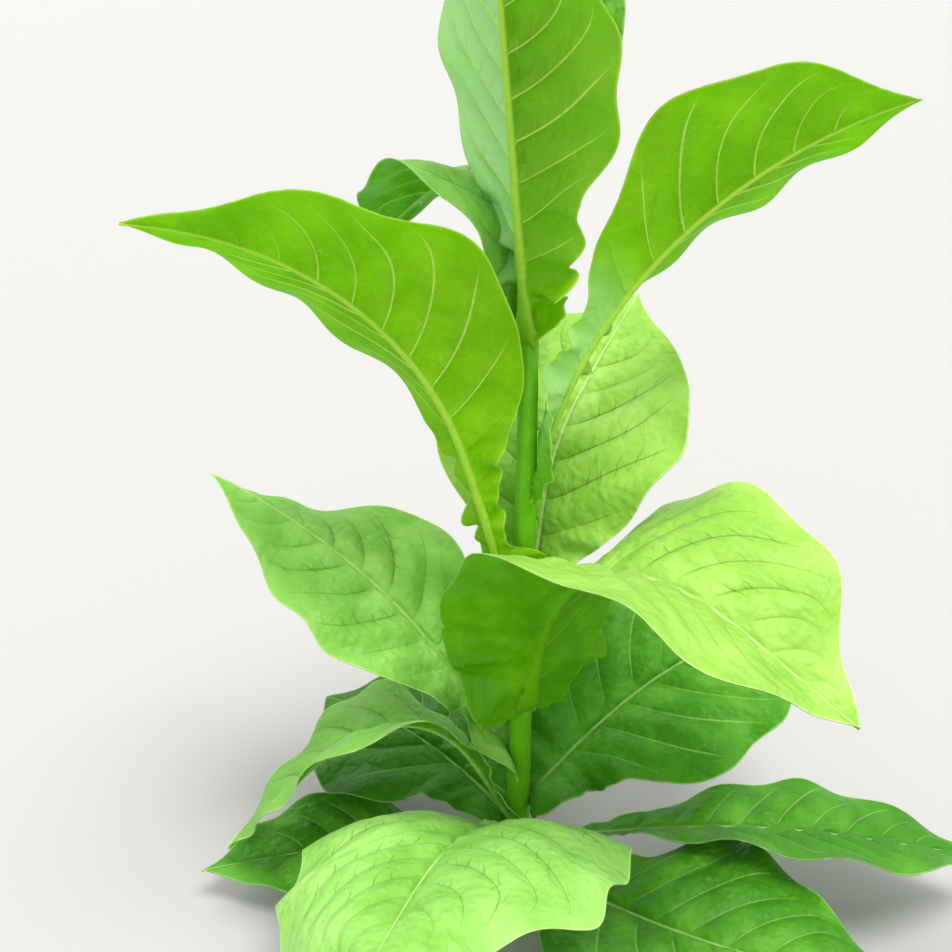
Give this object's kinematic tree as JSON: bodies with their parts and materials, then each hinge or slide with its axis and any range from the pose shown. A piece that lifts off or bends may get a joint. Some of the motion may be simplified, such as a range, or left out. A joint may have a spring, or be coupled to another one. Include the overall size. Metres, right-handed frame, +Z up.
{
  "type": "tobacco plant",
  "caption": "Broad-leaved crop plant before flowering: upright tapering stem, large wavy pointed leaves set in a spiral, growing tip; rooted at a flat cut.",
  "frame": {"origin": "middle of the flat cut under the stem at ground level, the mount ground", "axes": "+Z up along the stem, +X to the right and -Y towards the viewer of the picture"},
  "size_m": [0.8666, 0.6572, 1.0668],
  "materials": {
    "stem": "smooth green stem with fine lengthwise ridges",
    "growing_tip": "downy pale green",
    "ground_leaf": "satin dark green leaf",
    "middle_leaf": "satin bright green leaf",
    "lit_leaf": "satin yellow-green leaf with light coming through",
    "young_leaf": "downy pale green young leaf"
  },
  "bodies": {
    "root": {"stem": "stem", "growing_tip": "growing_tip", "leaf_01": "ground_leaf", "leaf_02": "ground_leaf", "leaf_03": "ground_leaf", "leaf_04": "middle_leaf", "leaf_05": "middle_leaf", "leaf_06": "ground_leaf", "leaf_07": "ground_leaf", "leaf_08": "middle_leaf", "leaf_09": "middle_leaf", "leaf_10": "middle_leaf", "leaf_11": "lit_leaf", "leaf_12": "lit_leaf", "leaf_13": "middle_leaf", "leaf_14": "lit_leaf", "leaf_15": "young_leaf", "leaf_16": "young_leaf", "leaf_17": "young_leaf", "leaf_18": "young_leaf", "leaf_19": "young_leaf", "leaf_20": "young_leaf"}
  },
  "joints": []
}
